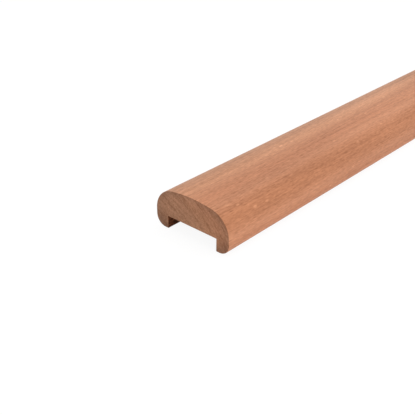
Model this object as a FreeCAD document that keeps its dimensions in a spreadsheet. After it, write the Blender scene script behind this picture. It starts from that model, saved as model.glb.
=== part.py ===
import FreeCAD, Part
import math
import os
from enum import IntEnum

import Sketcher

# Grooved stair handrail, one length of moulded hardwood that lies on its two feet.
# Millimetres. X runs along the rail, Y across it and Z up. The origin is on the floor, under the
# middle of the rail. The section is symmetric about Z: a shallow crown, rounder shoulders, short
# upright sides, rounded feet, and a groove underneath that the heads of the balusters stand in.

# Each driving size: its alias in the sheet, its value and what it measures.
SIZES = (
    ("rail_length", 1800.0, "from saw cut to saw cut"),
    ("rail_width", 69.0, "across the upright sides"),
    ("rail_height", 33.0, "from the feet to the middle of the crown"),
    ("crown_radius", 113.0, "of the shallow arc along the top"),
    ("shoulder_radius", 18.5, "of the arcs between the crown and the sides"),
    ("foot_radius", 8.5, "of the rounded outer edge of each foot"),
    ("groove_width", 46.0, "between the groove's walls"),
    ("groove_depth", 10.0, "from the feet up to the groove's roof"),
)

# A foot's rounding takes at most this share of the upright side and of the foot that it rounds.
FOOT_ROUNDING_SHARE = 0.95

# A point on an edge belongs to a place on the section when it is this near to it.
NEAR = 1e-4

SKETCH_NORMAL = FreeCAD.Vector(0, 0, 1)


class Axis(IntEnum):
    """The numbers that a sketch gives to its own axes."""

    ACROSS = -1
    UP = -2


class Point(IntEnum):
    """The numbers that a sketch gives to the points of a line or an arc."""

    START = 1
    END = 2
    CENTRE = 3


SKETCH_ORIGIN = (Axis.ACROSS, Point.START)


def fill_sheet(doc):
    """Give each driving size a row of the sheet: what it measures, its value and its alias."""
    sheet = doc.addObject("Spreadsheet::Sheet", "Sizes")
    for row, (alias, value, meaning) in enumerate(SIZES, start=1):
        sheet.set(f"A{row}", f"{alias}: {meaning}")
        sheet.set(f"B{row}", str(value))
        sheet.setAlias(f"B{row}", alias)
    doc.recompute()
    return sheet


def cross_section_sketch(body, name):
    """An empty sketch on the body's plane across the rail, where its x is Y and its y is Z."""
    sketch = body.newObject("Sketcher::SketchObject", name)
    plane = next(item for item in body.Origin.OriginFeatures if item.Role == "YZ_Plane")
    sketch.AttachmentSupport = (plane, [""])
    sketch.MapMode = "FlatFace"
    return sketch


def line(sketch, start, end):
    """Add a straight line between two (across, up) points and return its number."""
    return sketch.addGeometry(Part.LineSegment(FreeCAD.Vector(*start), FreeCAD.Vector(*end)))


def arc(sketch, centre, radius, first_angle, last_angle):
    """Add an anticlockwise arc about an (across, up) centre and return its number."""
    circle = Part.Circle(FreeCAD.Vector(*centre), SKETCH_NORMAL, radius)
    return sketch.addGeometry(Part.ArcOfCircle(circle, first_angle, last_angle))


def constrain(sketch, *details):
    """Add a constraint and return its number."""
    return sketch.addConstraint(Sketcher.Constraint(*details))


def constrain_span(sketch, direction, number, value):
    """Add a dimension between the two ends of a line, along one axis, and return its number."""
    return constrain(sketch, direction, number, Point.START, number, Point.END, value)


def follow_sheet(sketch, dimension, alias):
    """Name a dimension after the size in the sheet that it follows, and bind it to that size."""
    sketch.renameConstraint(dimension, alias)
    sketch.setExpression(f"Constraints.{alias}", f"Sizes.{alias}")


def draw_blank_section(body, sheet):
    """Draw the moulded outline before grooving: flat underside, sides, shoulders and crown."""
    sketch = cross_section_sketch(body, "BlankSection")
    half_width = sheet.rail_width / 2
    shoulder_reach = sheet.crown_radius - sheet.shoulder_radius
    shoulder_across = half_width - sheet.shoulder_radius
    meeting_angle = math.acos(shoulder_across / shoulder_reach)
    crown_centre_up = sheet.rail_height - sheet.crown_radius
    spring_up = crown_centre_up + shoulder_reach * math.sin(meeting_angle)

    underside = line(sketch, (-half_width, 0), (half_width, 0))
    right_side = line(sketch, (half_width, 0), (half_width, spring_up))
    right_shoulder = arc(sketch, (shoulder_across, spring_up), sheet.shoulder_radius, 0, meeting_angle)
    crown = arc(sketch, (0, crown_centre_up), sheet.crown_radius, meeting_angle, math.pi - meeting_angle)
    left_shoulder = arc(
        sketch, (-shoulder_across, spring_up), sheet.shoulder_radius, math.pi - meeting_angle, math.pi
    )
    left_side = line(sketch, (-half_width, spring_up), (-half_width, 0))
    mid_line = line(sketch, (0, 0), (0, sheet.rail_height))
    sketch.toggleConstruction(mid_line)

    constrain(sketch, "Coincident", underside, Point.END, right_side, Point.START)
    constrain(sketch, "Tangent", right_side, Point.END, right_shoulder, Point.START)
    constrain(sketch, "Tangent", right_shoulder, Point.END, crown, Point.START)
    constrain(sketch, "Tangent", crown, Point.END, left_shoulder, Point.START)
    constrain(sketch, "Tangent", left_shoulder, Point.END, left_side, Point.START)
    constrain(sketch, "Coincident", left_side, Point.END, underside, Point.START)
    constrain(sketch, "Horizontal", underside)
    constrain(sketch, "Vertical", right_side)
    constrain(sketch, "Vertical", left_side)
    constrain(sketch, "Symmetric", underside, Point.START, underside, Point.END, *SKETCH_ORIGIN)
    constrain(sketch, "PointOnObject", crown, Point.CENTRE, Axis.UP)
    constrain(sketch, "Equal", right_shoulder, left_shoulder)
    constrain(sketch, "Coincident", mid_line, Point.START, *SKETCH_ORIGIN)
    constrain(sketch, "Vertical", mid_line)
    constrain(sketch, "PointOnObject", mid_line, Point.END, crown)

    follow_sheet(sketch, constrain_span(sketch, "DistanceX", underside, sheet.rail_width), "rail_width")
    follow_sheet(sketch, constrain_span(sketch, "DistanceY", mid_line, sheet.rail_height), "rail_height")
    follow_sheet(sketch, constrain(sketch, "Radius", crown, sheet.crown_radius), "crown_radius")
    follow_sheet(
        sketch, constrain(sketch, "Radius", right_shoulder, sheet.shoulder_radius), "shoulder_radius"
    )

    # The height of the upright side follows from the rest, and is only read.
    side_height = constrain_span(sketch, "DistanceY", right_side, spring_up)
    sketch.setDriving(side_height, False)
    sketch.renameConstraint(side_height, "side_height")
    return sketch


def draw_groove_section(body, sheet):
    """Draw the rectangle that the groove takes out of the underside."""
    sketch = cross_section_sketch(body, "GrooveSection")
    half_width = sheet.groove_width / 2
    depth = sheet.groove_depth

    mouth = line(sketch, (-half_width, 0), (half_width, 0))
    right_wall = line(sketch, (half_width, 0), (half_width, depth))
    roof = line(sketch, (half_width, depth), (-half_width, depth))
    left_wall = line(sketch, (-half_width, depth), (-half_width, 0))

    constrain(sketch, "Coincident", mouth, Point.END, right_wall, Point.START)
    constrain(sketch, "Coincident", right_wall, Point.END, roof, Point.START)
    constrain(sketch, "Coincident", roof, Point.END, left_wall, Point.START)
    constrain(sketch, "Coincident", left_wall, Point.END, mouth, Point.START)
    constrain(sketch, "Horizontal", roof)
    constrain(sketch, "Vertical", right_wall)
    constrain(sketch, "Vertical", left_wall)
    constrain(sketch, "PointOnObject", mouth, Point.START, Axis.ACROSS)
    constrain(sketch, "Symmetric", mouth, Point.START, mouth, Point.END, *SKETCH_ORIGIN)

    follow_sheet(sketch, constrain_span(sketch, "DistanceX", mouth, sheet.groove_width), "groove_width")
    follow_sheet(sketch, constrain_span(sketch, "DistanceY", right_wall, depth), "groove_depth")
    return sketch


def pad_blank(doc, body, section):
    """Run the moulded section along the rail, the same way to both saw cuts."""
    pad = body.newObject("PartDesign::Pad", "MouldedBlank")
    pad.Profile = section
    pad.SideType = "Symmetric"
    pad.setExpression("Length", "Sizes.rail_length")
    doc.recompute()
    return pad


def is_outer_foot_edge(edge, half_width):
    """Whether an edge is a long one where an upright side meets the underside."""
    middle = edge.CenterOfMass
    on_side = abs(abs(middle.y) - half_width) < NEAR
    return on_side and abs(middle.z) < NEAR and abs(middle.x) < NEAR


def round_feet(doc, body, sheet, blank):
    """Round the outer edge of both feet."""
    half_width = sheet.rail_width / 2
    edges = [
        f"Edge{number}"
        for number, edge in enumerate(blank.Shape.Edges, start=1)
        if is_outer_foot_edge(edge, half_width)
    ]
    fillet = body.newObject("PartDesign::Fillet", "RoundedFeet")
    fillet.Base = (blank, edges)
    share = FOOT_ROUNDING_SHARE
    side_limit = f"{share} * BlankSection.Constraints.side_height"
    foot_limit = f"{share} * (Sizes.rail_width - Sizes.groove_width) / 2 * 1 mm"
    fillet.setExpression("Radius", f"min(Sizes.foot_radius * 1 mm; {side_limit}; {foot_limit})")
    doc.recompute()
    return fillet


def plough_groove(doc, body, section):
    """Cut the groove the whole way along the underside."""
    pocket = body.newObject("PartDesign::Pocket", "BalusterGroove")
    pocket.Profile = section
    pocket.SideType = "Symmetric"
    pocket.Type = "ThroughAll"
    doc.recompute()
    return pocket


def build_handrail(doc, sheet):
    """Build the rail as a moulded blank with rounded feet and a ploughed groove."""
    body = doc.addObject("PartDesign::Body", "Handrail")
    body.Label = "handrail"
    blank = pad_blank(doc, body, draw_blank_section(body, sheet))
    rounded = round_feet(doc, body, sheet, blank)
    whole_volume = rounded.Shape.Volume
    groove = plough_groove(doc, body, draw_groove_section(body, sheet))
    groove_volume = sheet.groove_width * sheet.groove_depth * sheet.rail_length
    if not math.isclose(whole_volume - groove.Shape.Volume, groove_volume, rel_tol=NEAR):
        raise RuntimeError("the groove doesn't take its own volume out of the rail")
    body.Placement = FreeCAD.Placement()
    doc.recompute()
    return body


def check_document(doc, bodies):
    """Stop when any object of the document failed, or a piece has no sound solid."""
    for item in doc.Objects:
        if "Invalid" in item.State or "Error" in item.State:
            raise RuntimeError(f"{item.Name} is {item.State}")
    for body in bodies:
        if body.Shape.isNull() or not body.Shape.isValid() or len(body.Shape.Solids) != 1:
            raise RuntimeError(f"{body.Label} is not one sound solid")


def main():
    """Build the handrail and write its solid."""
    doc = FreeCAD.newDocument("StairHandrail")
    sheet = fill_sheet(doc)
    bodies = [build_handrail(doc, sheet)]
    check_document(doc, bodies)
    os.makedirs("parts", exist_ok=True)
    for body in bodies:
        body.Shape.exportStep(f"parts/{body.Label}.step")
        box = body.Shape.BoundBox
        print(f"{body.Label}: {box.XLength:.1f} x {box.YLength:.1f} x {box.ZLength:.1f} mm, "
              f"{body.Shape.Volume / 1e6:.4f} litres")


main()
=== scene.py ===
"""Looks of a grooved stair handrail: one moulded length of light red hardwood, lying on its feet.

Metres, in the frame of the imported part: X runs along the rail, Y across it and Z up.
"""

import logging
import math
from dataclasses import dataclass, field
from enum import Enum, IntEnum
from typing import Any, Mapping, Optional, Sequence, Union

import bmesh
import bpy
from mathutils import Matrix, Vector


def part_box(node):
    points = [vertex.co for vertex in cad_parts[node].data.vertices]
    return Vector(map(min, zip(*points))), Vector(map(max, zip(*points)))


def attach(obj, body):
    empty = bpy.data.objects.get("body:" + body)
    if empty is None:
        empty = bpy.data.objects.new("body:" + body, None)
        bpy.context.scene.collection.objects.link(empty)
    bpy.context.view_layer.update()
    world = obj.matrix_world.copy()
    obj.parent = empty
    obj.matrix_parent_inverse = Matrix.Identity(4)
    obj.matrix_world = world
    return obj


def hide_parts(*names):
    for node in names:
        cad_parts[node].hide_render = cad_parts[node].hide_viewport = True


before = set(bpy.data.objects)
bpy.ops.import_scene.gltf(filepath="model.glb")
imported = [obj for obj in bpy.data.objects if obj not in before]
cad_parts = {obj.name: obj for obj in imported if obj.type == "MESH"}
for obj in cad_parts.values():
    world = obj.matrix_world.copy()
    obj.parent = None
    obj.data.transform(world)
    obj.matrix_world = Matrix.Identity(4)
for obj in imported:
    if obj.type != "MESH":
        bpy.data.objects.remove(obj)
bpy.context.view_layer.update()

BODY = "root"
NODE = "handrail"
PIECE = "handrail_timber"
BAKE_MAP = "OFBake"

# The corners of the solid rail's box, and the sizes that follow from them.
RAIL_LOW, RAIL_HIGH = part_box(NODE)
RAIL_LENGTH = RAIL_HIGH.x - RAIL_LOW.x
HALF_WIDTH = (RAIL_HIGH.y - RAIL_LOW.y) / 2
HALF_HEIGHT = (RAIL_HIGH.z - RAIL_LOW.z) / 2

# Noise runs from 0 to 1 about this middle, and so does the tone between a finish's shade and gleam.
MIDDLE_TONE = 0.5

FULL_ALPHA = 1.0

log = logging.getLogger("handrail")

Colour = tuple[float, float, float]
Extent = tuple[float, float, float]
Position = tuple[float, float, float]
Place = tuple[float, float]
Sockets = Union[bpy.types.NodeInputs, bpy.types.NodeOutputs]
SocketKey = Union[str, int]
Operand = Union["Value", float]
Paint = Union["Value", Colour]


class Blend(Enum):
    """The ways that one colour goes over another, by Blender's names for them."""

    MIX = "MIX"
    MULTIPLY = "MULTIPLY"


class Value:
    """An output socket of a shader node that takes part in Python arithmetic."""

    def __init__(self, board: "NodeBoard", socket: Optional[bpy.types.NodeSocket]) -> None:
        """Keep the board that the socket's node is on, so that results join it there."""
        self.board = board
        self.socket = socket

    def math(self, operation: str, *others: Operand) -> "Value":
        """Add a Math node with this value first.

        Args:
            operation: The node's operation, such as POWER.
            others: The values or numbers that follow this one.

        Returns:
            The node's result.
        """
        inputs = dict(enumerate((self, *others)))
        return self.board.node("ShaderNodeMath", {"operation": operation}, inputs)

    def other(self, key: SocketKey) -> "Value":
        """Take another output of the same node."""
        return Value(self.board, self.board.find_socket(self.socket.node.outputs, key))

    def at_least(self, level: Operand) -> "Value":
        """Keep this value from falling below a level."""
        return self.math("MAXIMUM", level)

    def rising(self, low: float, high: float) -> "Value":
        """Rise smoothly as this value grows.

        Args:
            low: The level up to which the result is 0.
            high: The level from which it is 1.

        Returns:
            The risen value, from 0 to 1.
        """
        settings = {"interpolation_type": "SMOOTHSTEP"}
        inputs = {"Value": self, "From Min": low, "From Max": high}
        return self.board.node("ShaderNodeMapRange", settings, inputs)

    def _reflected(self, operation: str, first: float) -> "Value":
        """Add a Math node with a plain number first and this value second."""
        return self.board.node("ShaderNodeMath", {"operation": operation}, {0: first, 1: self})

    def __add__(self, other: Operand) -> "Value":
        """Add a value or a number."""
        return self.math("ADD", other)

    def __radd__(self, other: float) -> "Value":
        """Add this value to a number."""
        return self._reflected("ADD", other)

    def __sub__(self, other: Operand) -> "Value":
        """Take a value or a number away."""
        return self.math("SUBTRACT", other)

    def __rsub__(self, other: float) -> "Value":
        """Take this value away from a number."""
        return self._reflected("SUBTRACT", other)

    def __mul__(self, other: Operand) -> "Value":
        """Multiply by a value or a number."""
        return self.math("MULTIPLY", other)

    def __rmul__(self, other: float) -> "Value":
        """Multiply a number by this value."""
        return self._reflected("MULTIPLY", other)

    def __truediv__(self, other: Operand) -> "Value":
        """Divide by a value or a number."""
        return self.math("DIVIDE", other)

    def __rtruediv__(self, other: float) -> "Value":
        """Divide a number by this value."""
        return self._reflected("DIVIDE", other)


class NodeBoard:
    """The node tree of one material or world, filled node by node."""

    def __init__(self, tree: bpy.types.NodeTree) -> None:
        """Start from an empty tree."""
        self.tree = tree
        self.tree.nodes.clear()

    def node(
        self,
        kind: str,
        settings: Optional[Mapping[str, Any]] = None,
        inputs: Optional[Mapping[SocketKey, Any]] = None,
        output: SocketKey = 0,
    ) -> Value:
        """Add a node.

        Args:
            kind: The node's type.
            settings: The node's own settings, which are set before its sockets. A ramp's colours
                are its setting stops.
            inputs: The values or links of its sockets, by number, name or identifier. A colour is
                given without its alpha.
            output: The socket that the caller goes on with.

        Returns:
            The chosen output, which has no socket where the node has no outputs.
        """
        node = self.tree.nodes.new(kind)
        for name, setting in (settings or {}).items():
            if name == "stops":
                self._set_stops(node.color_ramp.elements, setting)
            else:
                setattr(node, name, setting)
        for key, given in (inputs or {}).items():
            socket = self.find_socket(node.inputs, key)
            if isinstance(given, Value):
                self.tree.links.new(given.socket, socket)
            elif socket.type == "RGBA":
                socket.default_value = (*given, FULL_ALPHA)
            else:
                socket.default_value = given
        if not node.outputs:
            return Value(self, None)
        return Value(self, self.find_socket(node.outputs, output))

    @staticmethod
    def _set_stops(
        elements: bpy.types.ColorRampElements, stops: Sequence[tuple[float, Sequence[float]]]
    ) -> None:
        """Give a ramp its stops.

        Args:
            elements: The ramp's own stops, of which a new ramp has two.
            stops: The position of each stop, from 0 to 1, and its colour.
        """
        while len(elements) < len(stops):
            elements.new(1.0)
        for element, (position, colour) in zip(elements, stops):
            element.position = position
            element.color = (*colour, FULL_ALPHA)

    @staticmethod
    def find_socket(sockets: Sockets, key: SocketKey) -> bpy.types.NodeSocket:
        """Find a socket among a node's inputs or outputs.

        Args:
            sockets: The inputs or the outputs.
            key: The socket's number, its identifier or its name.

        Returns:
            The socket.
        """
        if isinstance(key, int):
            return sockets[key]
        for socket in sockets:
            if socket.identifier == key:
                return socket
        return sockets[key]

    def divided(self, vector: Value, extent: Extent) -> Value:
        """Divide a vector by fixed extents along its three axes."""
        return self.node("ShaderNodeVectorMath", {"operation": "DIVIDE"}, {0: vector, 1: extent})

    def split(self, vector: Value) -> Value:
        """Split a vector, and return its X, beside which the same node has its Y and its Z."""
        return self.node("ShaderNodeSeparateXYZ", inputs={"Vector": vector})

    def mixed(
        self, factor: Operand, first: Paint, second: Paint, blend: Blend = Blend.MIX
    ) -> Value:
        """Mix two colours.

        Args:
            factor: The share of the second colour.
            first: A colour or a link.
            second: A colour or a link.
            blend: How the second colour goes over the first.

        Returns:
            The mixed colour.
        """
        settings = {"data_type": "RGBA", "blend_type": blend.value}
        inputs = {"Factor_Float": factor, "A_Color": first, "B_Color": second}
        return self.node("ShaderNodeMix", settings, inputs, "Result_Color")

    def tinted(self, colour: Paint, tint: Paint, share: Operand = 1.0) -> Value:
        """Multiply a colour by a tint, of which only a share may count."""
        return self.mixed(share, colour, tint, Blend.MULTIPLY)

    def seen(self) -> Value:
        """Tell what the camera sees from what only takes part in the lighting.

        Returns:
            1 for a ray from the camera, straight or by way of gloss or glass, and 0 for another.
        """
        straight = self.node("ShaderNodeLightPath", output="Is Camera Ray")
        by_gloss = straight.other("Is Glossy Ray")
        through_glass = straight.other("Is Transmission Ray")
        return straight.at_least(by_gloss).at_least(through_glass)


@dataclass(frozen=True)
class Streaks:
    """A soft pattern that follows the grain.

    Attributes:
        size: The length of one streak along the tree, and its size across the rings and round them.
        detail: The number of finer layers.
        roughness: How strong the finer layers are.
    """

    size: Extent
    detail: float = 1.0
    roughness: float = 0.5


@dataclass(frozen=True)
class Spots:
    """Small long spots that follow the grain, one in each cell of it.

    Attributes:
        cell: The length of one cell along the tree, and its size across the rings and round them.
        middle: How far a spot's full strength reaches, as a share of the cell.
        edge: How far the whole spot reaches.
    """

    cell: Extent
    middle: float
    edge: float


@dataclass(frozen=True)
class Heartwood:
    """The tree that the rail was sawn from: how its rings lie in the section, and its figure.

    A depth is a distance across the rings, from the middle of the section towards the bark.

    Attributes:
        ring_slope: How far the way to the bark leans over from straight up, towards -Y.
        heart_distance: How far the tree's heart is from the middle of the section.
        middle_up: How high the middle of the section is.
        shallow, deep: The least and the greatest depth that the ramp of colours spans.
        colours: The timber's colours, each with its depth.
        even: The colour that is left where a finish doesn't show those bands.
        start: Where along the tree the middle of the rail was.
        drift: How far the rings wander aside along the tree.
        wander: The pattern of that drift.
        sway, ring, ribbon, line, dash, fibre: The lighter and darker streaks, from wide to fine.
        pore: The dark open vessels.
        fleck: The light flecks.
    """

    ring_slope: float = math.radians(39)
    heart_distance: float = 0.085
    middle_up: float = 0.016
    shallow: float = -0.03
    deep: float = 0.03
    colours: tuple[tuple[float, Colour], ...] = (
        (-0.022, (0.430, 0.215, 0.125)),
        (-0.008, (0.550, 0.281, 0.165)),
        (0.004, (0.556, 0.269, 0.152)),
        (0.009, (0.668, 0.315, 0.172)),
        (0.0128, (0.542, 0.238, 0.125)),
        (0.0180, (0.526, 0.218, 0.110)),
        (0.0235, (0.526, 0.226, 0.117)),
        (0.0285, (0.428, 0.163, 0.071)),
    )
    even: Colour = (0.548, 0.258, 0.144)
    start: float = 18.76
    drift: float = 0.002
    wander: Streaks = Streaks((0.7, 0.06, 0.06))
    sway: Streaks = Streaks((0.18, 0.15, 0.15), detail=0.0)
    ring: Streaks = Streaks((0.5, 0.0022, 0.016), detail=2.0)
    ribbon: Streaks = Streaks((0.16, 0.009, 0.02))
    line: Streaks = Streaks((0.25, 0.0014, 0.0014))
    dash: Streaks = Streaks((0.004, 0.0008, 0.0008))
    fibre: Streaks = Streaks((0.025, 0.0006, 0.0006), detail=2.0, roughness=0.6)
    pore: Spots = Spots((0.008, 0.0008, 0.0008), middle=0.05, edge=0.42)
    fleck: Spots = Spots((0.015, 0.005, 0.005), middle=0.06, edge=0.18)


class TimberGrain:
    """The timber's figure as a solid pattern, so that its sides and its ends show the same rings."""

    def __init__(self, board: NodeBoard, wood: Heartwood) -> None:
        """Lay out the coordinates that follow the tree.

        Args:
            board: The tree of nodes that the figure is made in.
            wood: The tree that the rail was sawn from.
        """
        self.board = board
        self.wood = wood
        on_rail = board.node("ShaderNodeTexCoord", output="Object")
        self.place = board.node(
            "ShaderNodeVectorMath", {"operation": "ADD"}, {0: on_rail, 1: (wood.start, 0.0, 0.0)}
        )
        self.depth, self.tree_place = self._follow_tree()

    def _follow_tree(self) -> tuple[Value, Value]:
        """Find where each place on the rail was in the tree.

        Returns:
            The depth across the rings, and a vector of the place along the tree, that depth and
            the place round the rings.
        """
        board, wood = self.board, self.wood
        aside = board.split(self._noise(self.place, wood.wander, "Color"))
        along = board.split(self.place)
        heart_across = wood.heart_distance * math.sin(wood.ring_slope)
        heart_up = wood.middle_up - wood.heart_distance * math.cos(wood.ring_slope)
        across = along.other("Y") - heart_across + (aside - MIDDLE_TONE) * (2 * wood.drift)
        up = along.other("Z") - heart_up + (aside.other("Y") - MIDDLE_TONE) * (2 * wood.drift)
        depth = (across * across + up * up).math("SQRT") - wood.heart_distance
        around = up.math("ARCTAN2", across) * wood.heart_distance
        return depth, board.node("ShaderNodeCombineXYZ", inputs={"X": along, "Y": depth, "Z": around})

    def _noise(self, place: Value, pattern: Streaks, output: SocketKey = 0) -> Value:
        """Make noise.

        Args:
            place: The coordinates that it lies in.
            pattern: The size and fineness of its features.
            output: The socket that the caller goes on with.

        Returns:
            The noise, from 0 to 1.
        """
        inputs = {
            "Vector": self.board.divided(place, pattern.size),
            "Scale": 1.0,
            "Detail": pattern.detail,
            "Roughness": pattern.roughness,
        }
        return self.board.node("ShaderNodeTexNoise", inputs=inputs, output=output)

    def colour(self, band_share: float) -> Value:
        """Colour the timber by its depth across the rings.

        Args:
            band_share: How much the colours differ from the even one, from 0 to 1.

        Returns:
            The colour.
        """
        wood = self.wood
        reach = wood.deep - wood.shallow
        stops = []
        for depth, colour in wood.colours:
            banded = [even + (full - even) * band_share for even, full in zip(wood.even, colour)]
            stops.append(((depth - wood.shallow) / reach, banded))
        place = (self.depth - wood.shallow) / reach
        return self.board.node("ShaderNodeValToRGB", {"stops": stops}, {"Fac": place})

    def rim(self, reach: Place) -> Value:
        """Tell how near each place is to the rim of the section.

        Args:
            reach: How far the rim is from the middle of the section, across and up.

        Returns:
            A value that is 0 in the middle and grows to about 1 at the rim.
        """
        along = self.board.split(self.place)
        across = along.other("Y") / reach[0]
        up = (along.other("Z") - self.wood.middle_up) / reach[1]
        return across * across + up * up

    def streaks(self, pattern: Streaks) -> Value:
        """Lay streaks along the grain, from below zero to above it."""
        return self._noise(self.tree_place, pattern) - MIDDLE_TONE

    def spots(self, pattern: Spots) -> Value:
        """Scatter spots along the grain, some of them faint.

        Args:
            pattern: The size of their cells, and how far a spot reaches in its cell.

        Returns:
            A mask, up to 1 inside the spots.
        """
        inputs = {"Vector": self.board.divided(self.tree_place, pattern.cell), "Scale": 1.0}
        distance = self.board.node("ShaderNodeTexVoronoi", {"feature": "F1"}, inputs, "Distance")
        strength = self.board.node("ShaderNodeSeparateColor", inputs={"Color": distance.other("Color")})
        return (1.0 - distance.rising(pattern.middle, pattern.edge)) * strength


class Surface(IntEnum):
    """The ways the rail's faces were cut, in the order of its material slots."""

    PLANED = 0
    SAWN = 1
    PLOUGHED = 2


@dataclass(frozen=True)
class TimberFinish:
    """How one kind of cut shows the timber.

    A share says how strongly the finish shows one part of the figure. The colours multiply the
    colour of the heartwood.

    Attributes:
        name: The material's name.
        tint: The colour over the whole surface.
        band_share: For the timber's bands of colour.
        ring_share, ribbon_share, line_share, fibre_share, dash_share, sway_share: For its streaks.
        pore_share, fleck_share: For its spots.
        roughness: How dull the surface is.
        gloss: Its specular level.
        relief: The strength of its fine relief.
        shade, gleam: The colours of the darkest and the lightest streaks.
        pore, fleck: The colours of the spots.
        fibre_dulling, pore_dulling: How much duller it is on a fibre and in a pore.
        fibre_height: How far a fibre stands up, as a share of the depth of a pore.
        pore_depth: The depth of a pore.
    """

    name: str
    tint: Colour
    band_share: float
    ring_share: float
    ribbon_share: float
    line_share: float
    fibre_share: float
    dash_share: float
    pore_share: float
    fleck_share: float
    roughness: float
    gloss: float
    relief: float
    sway_share: float = 0.35
    shade: Colour = (0.70, 0.64, 0.58)
    gleam: Colour = (1.30, 1.36, 1.42)
    pore: Colour = (0.75, 0.69, 0.63)
    fleck: Colour = (1.30, 1.42, 1.50)
    fibre_dulling: float = 0.12
    pore_dulling: float = 0.08
    fibre_height: float = 0.35
    pore_depth: float = 0.0001

    def material(self, wood: Heartwood) -> bpy.types.Material:
        """Make the finish as a material.

        Args:
            wood: The tree that shows through it.

        Returns:
            The material.
        """
        material = bpy.data.materials.new(self.name)
        material.use_nodes = True
        board = NodeBoard(material.node_tree)
        grain = TimberGrain(board, wood)
        fibre = grain.streaks(wood.fibre)
        pores = grain.spots(wood.pore)
        shader = board.node(
            "ShaderNodeBsdfPrincipled",
            inputs={
                "Base Color": self._colour(grain, fibre, pores),
                "Roughness": self.roughness + fibre * self.fibre_dulling + pores * self.pore_dulling,
                "Specular IOR Level": self.gloss,
                "Normal": self._normal(board, fibre, pores),
            },
        )
        board.node("ShaderNodeOutputMaterial", inputs={"Surface": shader})
        return material

    def _colour(self, grain: TimberGrain, fibre: Value, pores: Value) -> Value:
        """Lighten and darken the heartwood by its streaks and spots.

        Args:
            grain: The figure of the timber.
            fibre: Its finest streaks.
            pores: Its dark vessels.

        Returns:
            The colour.
        """
        board, wood = grain.board, grain.wood
        tone = (
            MIDDLE_TONE
            + grain.streaks(wood.sway) * self.sway_share
            + grain.streaks(wood.ring) * self.ring_share
            + grain.streaks(wood.ribbon) * self.ribbon_share
            + grain.streaks(wood.line) * self.line_share
            + grain.streaks(wood.dash) * self.dash_share
            + fibre * self.fibre_share
        )
        colour = board.tinted(grain.colour(self.band_share), self.tint)
        colour = board.tinted(colour, board.mixed(tone, self.shade, self.gleam))
        colour = board.tinted(colour, self.pore, pores * self.pore_share)
        return board.tinted(colour, self.fleck, grain.spots(wood.fleck) * self.fleck_share)

    def _normal(self, board: NodeBoard, fibre: Value, pores: Value) -> Value:
        """Raise the fibres a little and sink the pores.

        Args:
            board: The tree of nodes that the relief is made in.
            fibre: The finest streaks of the timber.
            pores: Its dark vessels.

        Returns:
            The normal.
        """
        height = fibre * self.fibre_height - pores
        inputs = {"Strength": self.relief, "Distance": self.pore_depth, "Height": height}
        return board.node("ShaderNodeBump", inputs=inputs)


@dataclass(frozen=True)
class SawnFinish(TimberFinish):
    """A sawn end, darker towards its rim.

    Attributes:
        rim: The colour at the rim.
        rim_reach: How far the rim is from the middle of the section, across and up.
        rim_start, rim_full: How near to the rim the darkening starts and is full, where 1 is the rim.
    """

    rim: Colour = (0.74, 0.765, 0.80)
    rim_reach: Place = (HALF_WIDTH, HALF_HEIGHT)
    rim_start: float = 0.45
    rim_full: float = 1.35

    def _colour(self, grain: TimberGrain, fibre: Value, pores: Value) -> Value:
        """Darken the figure near the rim.

        Args:
            grain: The figure of the timber.
            fibre: Its finest streaks.
            pores: Its dark vessels.

        Returns:
            The colour.
        """
        colour = super()._colour(grain, fibre, pores)
        # Darker towards the rim of the end, growing to full strength at the rim.
        towards_rim = grain.rim(self.rim_reach).rising(self.rim_start, self.rim_full)
        return grain.board.tinted(colour, self.rim, towards_rim)


@dataclass(frozen=True)
class PloughedFinish(TimberFinish):
    """A ploughed groove, whose torn fibres catch the light in small patches.

    Attributes:
        tear: The colour of the torn fibres.
        tears: Their pattern.
    """

    tear: Colour = (2.2, 2.1, 2.0)
    tears: Spots = Spots((0.012, 0.0022, 0.0022), middle=0.15, edge=0.55)

    def _colour(self, grain: TimberGrain, fibre: Value, pores: Value) -> Value:
        """Lighten the figure where fibres were torn.

        Args:
            grain: The figure of the timber.
            fibre: Its finest streaks.
            pores: Its dark vessels.

        Returns:
            The colour.
        """
        colour = super()._colour(grain, fibre, pores)
        return grain.board.tinted(colour, self.tear, grain.spots(self.tears))


FINISHES: dict[Surface, TimberFinish] = {
    Surface.PLANED: TimberFinish(
        name="planed_timber",
        tint=(1.0, 1.0, 1.0),
        band_share=1.0,
        ring_share=0.4,
        ribbon_share=0.75,
        line_share=0.45,
        fibre_share=0.8,
        dash_share=0.9,
        pore_share=1.0,
        fleck_share=1.0,
        roughness=0.55,
        gloss=0.25,
        relief=0.3,
    ),
    Surface.SAWN: SawnFinish(
        name="sawn_end_timber",
        tint=(0.825, 0.82, 0.80),
        band_share=0.5,
        ring_share=1.4,
        ribbon_share=0.5,
        line_share=0.9,
        fibre_share=0.9,
        dash_share=0.8,
        pore_share=0.9,
        fleck_share=0.2,
        roughness=0.75,
        gloss=0.25,
        relief=0.6,
    ),
    Surface.PLOUGHED: PloughedFinish(
        name="ploughed_groove_timber_painted_shade",
        # Painted shade: this tint is far darker than the planed timber's. A little of that is the rough
        # ploughed timber, and most of it stands for the deep shade inside the groove.
        tint=(0.32, 0.215, 0.155),
        band_share=1.0,
        ring_share=0.5,
        ribbon_share=0.5,
        line_share=0.8,
        fibre_share=1.2,
        dash_share=1.6,
        pore_share=0.9,
        fleck_share=0.5,
        roughness=0.7,
        gloss=0.05,
        relief=0.7,
        shade=(0.30, 0.27, 0.24),
        gleam=(1.80, 1.82, 1.84),
    ),
}


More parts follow.
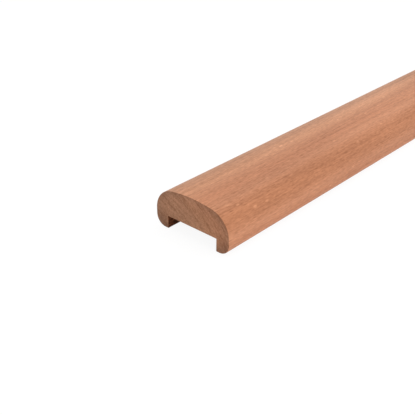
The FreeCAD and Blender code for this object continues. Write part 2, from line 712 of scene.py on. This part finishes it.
class OutlinePen:
    """Draws an outline across the rail, vertex by vertex, on a plane at one place along it."""

    def __init__(self, mesh: bmesh.types.BMesh, along: float, start: Place) -> None:
        """Put the pen down.

        Args:
            mesh: The mesh that the outline is drawn in.
            along: Where the plane is along the rail.
            start: Where the outline starts, across and up.
        """
        self.mesh = mesh
        self.along = along
        self.tip = mesh.verts.new((along, *start))
        self.trail: list[bmesh.types.BMVert] = [self.tip]

    def line_to(self, end: Place) -> None:
        """Draw a straight line.

        Args:
            end: Where it ends, across and up.
        """
        grown = bmesh.ops.extrude_vert_indiv(self.mesh, verts=[self.tip])
        self.tip = grown["verts"][0]
        self.tip.co = (self.along, *end)
        self.trail.append(self.tip)

    def arc_about(self, centre: Place, angle: float, steps: int) -> None:
        """Draw an arc.

        Args:
            centre: Its centre, across and up.
            angle: How far it turns from Y towards Z, in radians.
            steps: The number of straight steps that it is drawn in.
        """
        known = set(self.mesh.verts)
        bmesh.ops.spin(
            self.mesh,
            geom=[self.tip],
            cent=(self.along, *centre),
            axis=(1.0, 0.0, 0.0),
            angle=angle,
            steps=steps,
            use_merge=False,
            use_normal_flip=False,
            use_duplicate=False,
        )
        self.mesh.verts.index_update()
        fresh = [vert for vert in self.mesh.verts if vert not in known]
        self.trail.extend(fresh)
        self.tip = fresh[-1]

    def close(self) -> None:
        """Join the last point to the first and fill the outline with a face."""
        self.mesh.edges.new((self.trail[-1], self.trail[0]))
        bmesh.ops.edgeloop_fill(self.mesh, edges=self.mesh.edges[:])


@dataclass
class Handrail:
    """The moulded rail: the sizes of its section, its mesh and its three kinds of cut.

    Attributes:
        crown_radius: The radius of the shallow arc along the top.
        shoulder_radius: The radius of the arcs between the crown and the sides.
        foot_radius: The radius of the rounded outer edge of each foot.
        groove_width: The distance between the groove's walls.
        groove_depth: How far the groove's roof is above the feet.
        lip_radius: The radius of the groove's eased lips.
        arris_radius: How far the arris of each sawn end is eased.
        end_tolerance: How far from a saw cut a point still counts as on it.
        crown_steps, shoulder_steps, foot_steps, lip_steps, arris_steps: The straight steps in each arc.
        length_cuts: The number of cuts that divide the rail's faces along its length.
        sharp_angle: The angle between two faces from which their edge shows sharp.
        map_margin: The free border round each part of the bake map, where 1 is the whole map.
        map_ends_height: The height of the row of the map that holds the two ends.
        key_digits: The digits after the point in the places by which the section's points are known.
        wood: The tree that the rail was sawn from.
        girth: How far round the section each of its points lies.
        whole_girth: How far it is the whole way round.
    """

    crown_radius: float = 0.113
    shoulder_radius: float = 0.0185
    foot_radius: float = 0.0085
    groove_width: float = 0.046
    groove_depth: float = 0.010
    lip_radius: float = 0.0004
    arris_radius: float = 0.0004
    end_tolerance: float = 0.00004
    crown_steps: int = 24
    shoulder_steps: int = 18
    foot_steps: int = 12
    lip_steps: int = 5
    arris_steps: int = 2
    length_cuts: int = 59
    sharp_angle: float = math.radians(20)
    map_margin: float = 0.008
    map_ends_height: float = 0.23
    key_digits: int = 5
    wood: Heartwood = Heartwood()
    girth: dict[Place, float] = field(init=False, default_factory=dict)
    whole_girth: float = field(init=False, default=0.0)

    def build(self) -> bpy.types.Object:
        """Build the rail and put it in the place of its solid.

        Returns:
            The finished object.
        """
        shape = bmesh.new()
        self._draw_section(shape)
        self._run_along(shape)
        self._ease_ends(shape)
        self._mark_cuts(shape)
        self._unroll(shape)
        mesh = bpy.data.meshes.new(PIECE)
        shape.to_mesh(mesh)
        shape.free()
        mesh.set_sharp_from_angle(angle=self.sharp_angle)
        self._dress(mesh)
        piece = bpy.data.objects.new(PIECE, mesh)
        bpy.context.scene.collection.objects.link(piece)
        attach(piece, BODY)
        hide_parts(NODE)
        return piece

    def _draw_section(self, shape: bmesh.types.BMesh) -> None:
        """Draw the section on the near end, from one roof corner of the groove round to the other.

        Args:
            shape: The mesh that it is drawn in.
        """
        half, groove_half, lip = HALF_WIDTH, self.groove_width / 2, self.lip_radius
        reach = self.crown_radius - self.shoulder_radius
        shoulder_across = half - self.shoulder_radius
        meeting = math.acos(shoulder_across / reach)
        crown_up = RAIL_HIGH.z - self.crown_radius
        spring_up = crown_up + reach * math.sin(meeting)
        foot_across = half - self.foot_radius
        quarter = math.pi / 2

        pen = OutlinePen(shape, RAIL_LOW.x, (groove_half, self.groove_depth))
        pen.line_to((groove_half, lip))
        pen.arc_about((groove_half + lip, lip), quarter, self.lip_steps)
        pen.line_to((foot_across, 0.0))
        pen.arc_about((foot_across, self.foot_radius), quarter, self.foot_steps)
        pen.line_to((half, spring_up))
        pen.arc_about((shoulder_across, spring_up), meeting, self.shoulder_steps)
        pen.arc_about((0.0, crown_up), math.pi - 2 * meeting, self.crown_steps)
        pen.arc_about((-shoulder_across, spring_up), meeting, self.shoulder_steps)
        pen.line_to((-half, self.foot_radius))
        pen.arc_about((-foot_across, self.foot_radius), quarter, self.foot_steps)
        pen.line_to((-groove_half - lip, 0.0))
        pen.arc_about((-groove_half - lip, lip), quarter, self.lip_steps)
        pen.line_to((-groove_half, self.groove_depth))
        self._measure_girth(pen.trail)
        pen.close()

    def _measure_girth(self, trail: Sequence[bmesh.types.BMVert]) -> None:
        """Note how far round the section each of its points lies.

        Args:
            trail: The section's points, in order.
        """
        before = trail[0].co
        for vert in trail:
            self.whole_girth += (vert.co - before).length
            self.girth[self._key(vert.co)] = self.whole_girth
            before = vert.co
        self.whole_girth += (trail[0].co - before).length

    def _key(self, place: Vector) -> Place:
        """Name a point of the section by where it is across and up, rounded."""
        return (round(place.y, self.key_digits), round(place.z, self.key_digits))

    def _run_along(self, shape: bmesh.types.BMesh) -> None:
        """Run the section from the near end to the far end, in even lengths.

        Args:
            shape: The mesh, with the section as its only face.
        """
        shape.faces.ensure_lookup_table()
        grown = bmesh.ops.extrude_face_region(shape, geom=[shape.faces[0]])
        far_end = [item for item in grown["geom"] if isinstance(item, bmesh.types.BMVert)]
        bmesh.ops.translate(shape, vec=(RAIL_LENGTH, 0.0, 0.0), verts=far_end)
        long_edges = [edge for edge in shape.edges if edge.calc_length() > RAIL_LENGTH / 2]
        bmesh.ops.subdivide_edges(shape, edges=long_edges, cuts=self.length_cuts, use_grid_fill=True)
        bmesh.ops.recalc_face_normals(shape, faces=shape.faces)

    @staticmethod
    def _at_end(place: Vector, reach: float) -> bool:
        """Tell whether a place is within some reach of either end of the rail."""
        return place.x < RAIL_LOW.x + reach or place.x > RAIL_HIGH.x - reach

    def _ease_ends(self, shape: bmesh.types.BMesh) -> None:
        """Ease the arris of both sawn ends.

        Args:
            shape: The mesh of the rail.
        """
        arris = [
            edge
            for edge in shape.edges
            if all(self._at_end(vert.co, self.end_tolerance) for vert in edge.verts)
        ]
        bmesh.ops.bevel(
            shape,
            geom=arris,
            offset=self.arris_radius,
            offset_type="OFFSET",
            affect="EDGES",
            segments=self.arris_steps,
            profile=0.5,
            material=-1,
            clamp_overlap=True,
        )

    def _mark_cuts(self, shape: bmesh.types.BMesh) -> None:
        """Give each face the kind of cut that made it, and each eased arris to the cuts it joins.

        Args:
            shape: The mesh of the rail.
        """
        groove_across = self.groove_width / 2 + self.arris_radius
        groove_up = self.groove_depth + self.arris_radius
        for face in shape.faces:
            middle = face.calc_center_median()
            in_groove = abs(middle.y) < groove_across and middle.z < groove_up
            face.smooth = True
            if self._at_end(middle, self.arris_radius / 2):
                face.material_index = Surface.SAWN
            elif in_groove:
                face.material_index = Surface.PLOUGHED
            else:
                face.material_index = Surface.PLANED

    def _unroll(self, shape: bmesh.types.BMesh) -> None:
        """Lay the rail's skin out as one long strip, with the two ends larger below it.

        Args:
            shape: The mesh of the rail.
        """
        layer = shape.loops.layers.uv.new(BAKE_MAP)
        for face in shape.faces:
            if self._at_end(face.calc_center_median(), self.arris_radius):
                for loop in face.loops:
                    loop[layer].uv = self._place_on_end_map(loop.vert.co)
            else:
                for loop, around in zip(face.loops, self._distances_round(face)):
                    loop[layer].uv = self._place_on_strip_map(loop.vert.co, around)

    def _distances_round(self, face: bmesh.types.BMFace) -> list[float]:
        """Find how far round the section each corner of a face lies.

        Args:
            face: A face between the two ends.

        Returns:
            The distances, which run on past the whole girth where the face closes the section.
        """
        half_girth = self.whole_girth / 2
        around = [self.girth[self._key(loop.vert.co)] for loop in face.loops]
        if max(around) - min(around) < half_girth:
            return around
        return [
            distance + self.whole_girth if distance < half_girth else distance for distance in around
        ]

    def _place_on_end_map(self, place: Vector) -> Place:
        """Place a point of an end on the bake map, as that end is seen from outside.

        Args:
            place: The point, on the near end or the far end.

        Returns:
            Where it is on the map: the near end on its left half, and the far end on its right.
        """
        margin = self.map_margin
        half_map = 0.5
        is_far = place.x > (RAIL_LOW.x + RAIL_HIGH.x) / 2
        left = half_map if is_far else 0.0
        aside = place.y if is_far else -place.y
        across = (aside + HALF_WIDTH) / (2 * HALF_WIDTH)
        up = place.z / RAIL_HIGH.z
        return (
            left + margin + across * (half_map - 2 * margin),
            margin + up * (self.map_ends_height - 2 * margin),
        )

    def _place_on_strip_map(self, place: Vector, around: float) -> Place:
        """Place a point of the rail's skin on the bake map.

        Args:
            place: The point.
            around: How far round the section it lies.

        Returns:
            Where it is on the map, by how far along and round the rail it lies.
        """
        margin = self.map_margin
        along = (place.x - RAIL_LOW.x) / RAIL_LENGTH
        tall = 1.0 - self.map_ends_height - 2 * margin
        return (
            margin + along * (1.0 - 2 * margin),
            1.0 - margin - around / self.whole_girth * tall,
        )

    def _dress(self, mesh: bpy.types.Mesh) -> None:
        """Give the rail its finishes, in the order of the cuts."""
        for cut in Surface:
            mesh.materials.append(FINISHES[cut].material(self.wood))


@dataclass
class Studio:
    """The pale floor, the soft light and the camera.

    Attributes:
        floor_half: Half the length of the floor's side.
        floor_drop: How far the floor is below the feet.
        floor_glow: How bright the floor is by itself where it is looked at.
        floor_colour: The floor's colour for the light that it returns.
        floor_shade: Its colour where it is looked at, which lets a shadow show on it.
        backdrop: The colour of the dome.
        dome_level: The strength of the dome's light.
        near_shade: How much darker the dome is behind the near end.
        left_shade: How much darker it is on the rail's left, towards +Y.
        right_glow: How much brighter it is on the rail's right, towards -Y.
        right_narrowness: The power by which that glow falls off to the sides.
        key_power: The power of the lamp, in watts.
        key_size: The length of the lamp's side.
        key_place: Where the lamp hangs.
        camera_offset: Where the camera is, from the middle of the near end on the floor.
        camera_pitch: How far the camera looks down.
        camera_yaw: How far it is turned from the way along the rail.
        camera_lens: Its focal length, in millimetres.
        camera_near: How near to it things start to show.
    """

    floor_half: float = 12.0
    floor_drop: float = 0.0001
    floor_glow: float = 0.92
    floor_colour: Colour = (0.92, 0.92, 0.92)
    floor_shade: Colour = (0.11, 0.11, 0.11)
    backdrop: Colour = (1.0, 1.0, 1.0)
    dome_level: float = 0.995
    near_shade: float = 0.55
    left_shade: float = 0.45
    right_glow: float = 0.9
    right_narrowness: float = 4.0
    key_power: float = 14.0
    key_size: float = 2.6
    key_place: Position = (0.0, 0.0, 2.5)
    camera_offset: Position = (-0.3229, -0.3106, 0.2762)
    camera_pitch: float = math.radians(29.21)
    camera_yaw: float = math.radians(42.46)
    camera_lens: float = 64.84
    camera_near: float = 0.01

    def build(self) -> None:
        """Build the floor, the light and the camera."""
        self._lay_floor()
        self._light_dome()
        self._hang_lamp()
        self._set_camera()
        bpy.context.scene.view_settings.view_transform = "Standard"

    def _lay_floor(self) -> None:
        """Lay a pale floor just under the feet, which shows white and keeps a soft shadow."""
        shape = bmesh.new()
        bmesh.ops.create_grid(shape, x_segments=1, y_segments=1, size=self.floor_half)
        bmesh.ops.translate(shape, vec=(0.0, 0.0, -self.floor_drop), verts=shape.verts)
        mesh = bpy.data.meshes.new("floor")
        shape.to_mesh(mesh)
        shape.free()
        floor = bpy.data.objects.new("floor", mesh)
        bpy.context.scene.collection.objects.link(floor)
        mesh.materials.append(self._floor_finish())

    def _floor_finish(self) -> bpy.types.Material:
        """Make the floor's paint: pale for the light that it returns, white where it is looked at.

        Returns:
            The material.
        """
        material = bpy.data.materials.new("floor_paint")
        material.use_nodes = True
        board = NodeBoard(material.node_tree)
        plain = board.node("ShaderNodeBsdfDiffuse", inputs={"Color": self.floor_colour})
        shade = board.node("ShaderNodeBsdfDiffuse", inputs={"Color": self.floor_shade})
        glow = board.node("ShaderNodeEmission", inputs={"Strength": self.floor_glow})
        white = board.node("ShaderNodeAddShader", inputs={0: shade, 1: glow})
        shader = board.node("ShaderNodeMixShader", inputs={0: board.seen(), 1: plain, 2: white})
        board.node("ShaderNodeOutputMaterial", inputs={"Surface": shader})
        return material

    def _light_dome(self) -> None:
        """Light the scene softly from all round, with a white backdrop."""
        world = bpy.data.worlds.new("studio")
        world.use_nodes = True
        bpy.context.scene.world = world
        board = NodeBoard(world.node_tree)
        along = board.split(board.node("ShaderNodeTexCoord", output="Generated"))
        across = along.other("Y")
        shade = (0.0 - along).at_least(0.0) * self.near_shade + across.at_least(0.0) * self.left_shade
        glow = (0.0 - across).at_least(0.0).math("POWER", self.right_narrowness) * self.right_glow
        light = (1.0 - shade + glow) * self.dome_level
        strength = light + board.seen() * (1.0 - light)
        dome = board.node("ShaderNodeBackground", inputs={"Color": self.backdrop, "Strength": strength})
        board.node("ShaderNodeOutputWorld", inputs={"Surface": dome})

    def _hang_lamp(self) -> None:
        """Hang a square soft lamp that faces the middle of the rail."""
        lamp = bpy.data.lights.new("key_lamp", "AREA")
        lamp.shape = "SQUARE"
        lamp.size = self.key_size
        lamp.energy = self.key_power
        holder = bpy.data.objects.new("key_lamp", lamp)
        holder.location = self.key_place
        holder.rotation_euler = (-Vector(self.key_place)).to_track_quat("-Z", "Y").to_euler()
        bpy.context.scene.collection.objects.link(holder)

    def _set_camera(self) -> None:
        """Set the camera beside the near end, at the photograph's angle."""
        near_end = Vector((RAIL_LOW.x, (RAIL_LOW.y + RAIL_HIGH.y) / 2, RAIL_LOW.z))
        level = math.cos(self.camera_pitch)
        ahead = Vector(
            (
                level * math.cos(self.camera_yaw),
                level * math.sin(self.camera_yaw),
                -math.sin(self.camera_pitch),
            )
        )
        lens = bpy.data.cameras.new("camera")
        lens.lens = self.camera_lens
        lens.clip_start = self.camera_near
        camera = bpy.data.objects.new("camera", lens)
        camera.location = near_end + Vector(self.camera_offset)
        camera.rotation_euler = ahead.to_track_quat("-Z", "Y").to_euler()
        bpy.context.scene.collection.objects.link(camera)
        bpy.context.scene.camera = camera


def main() -> None:
    """Build the rail and the studio round it, and report each piece."""
    logging.basicConfig(level=logging.INFO)
    rail = Handrail().build()
    log.info("%s: %d faces on body %s", rail.name, len(rail.data.polygons), BODY)
    Studio().build()
    log.info("studio: floor, dome, lamp and camera are in place")


if __name__ == "__main__":
    main()
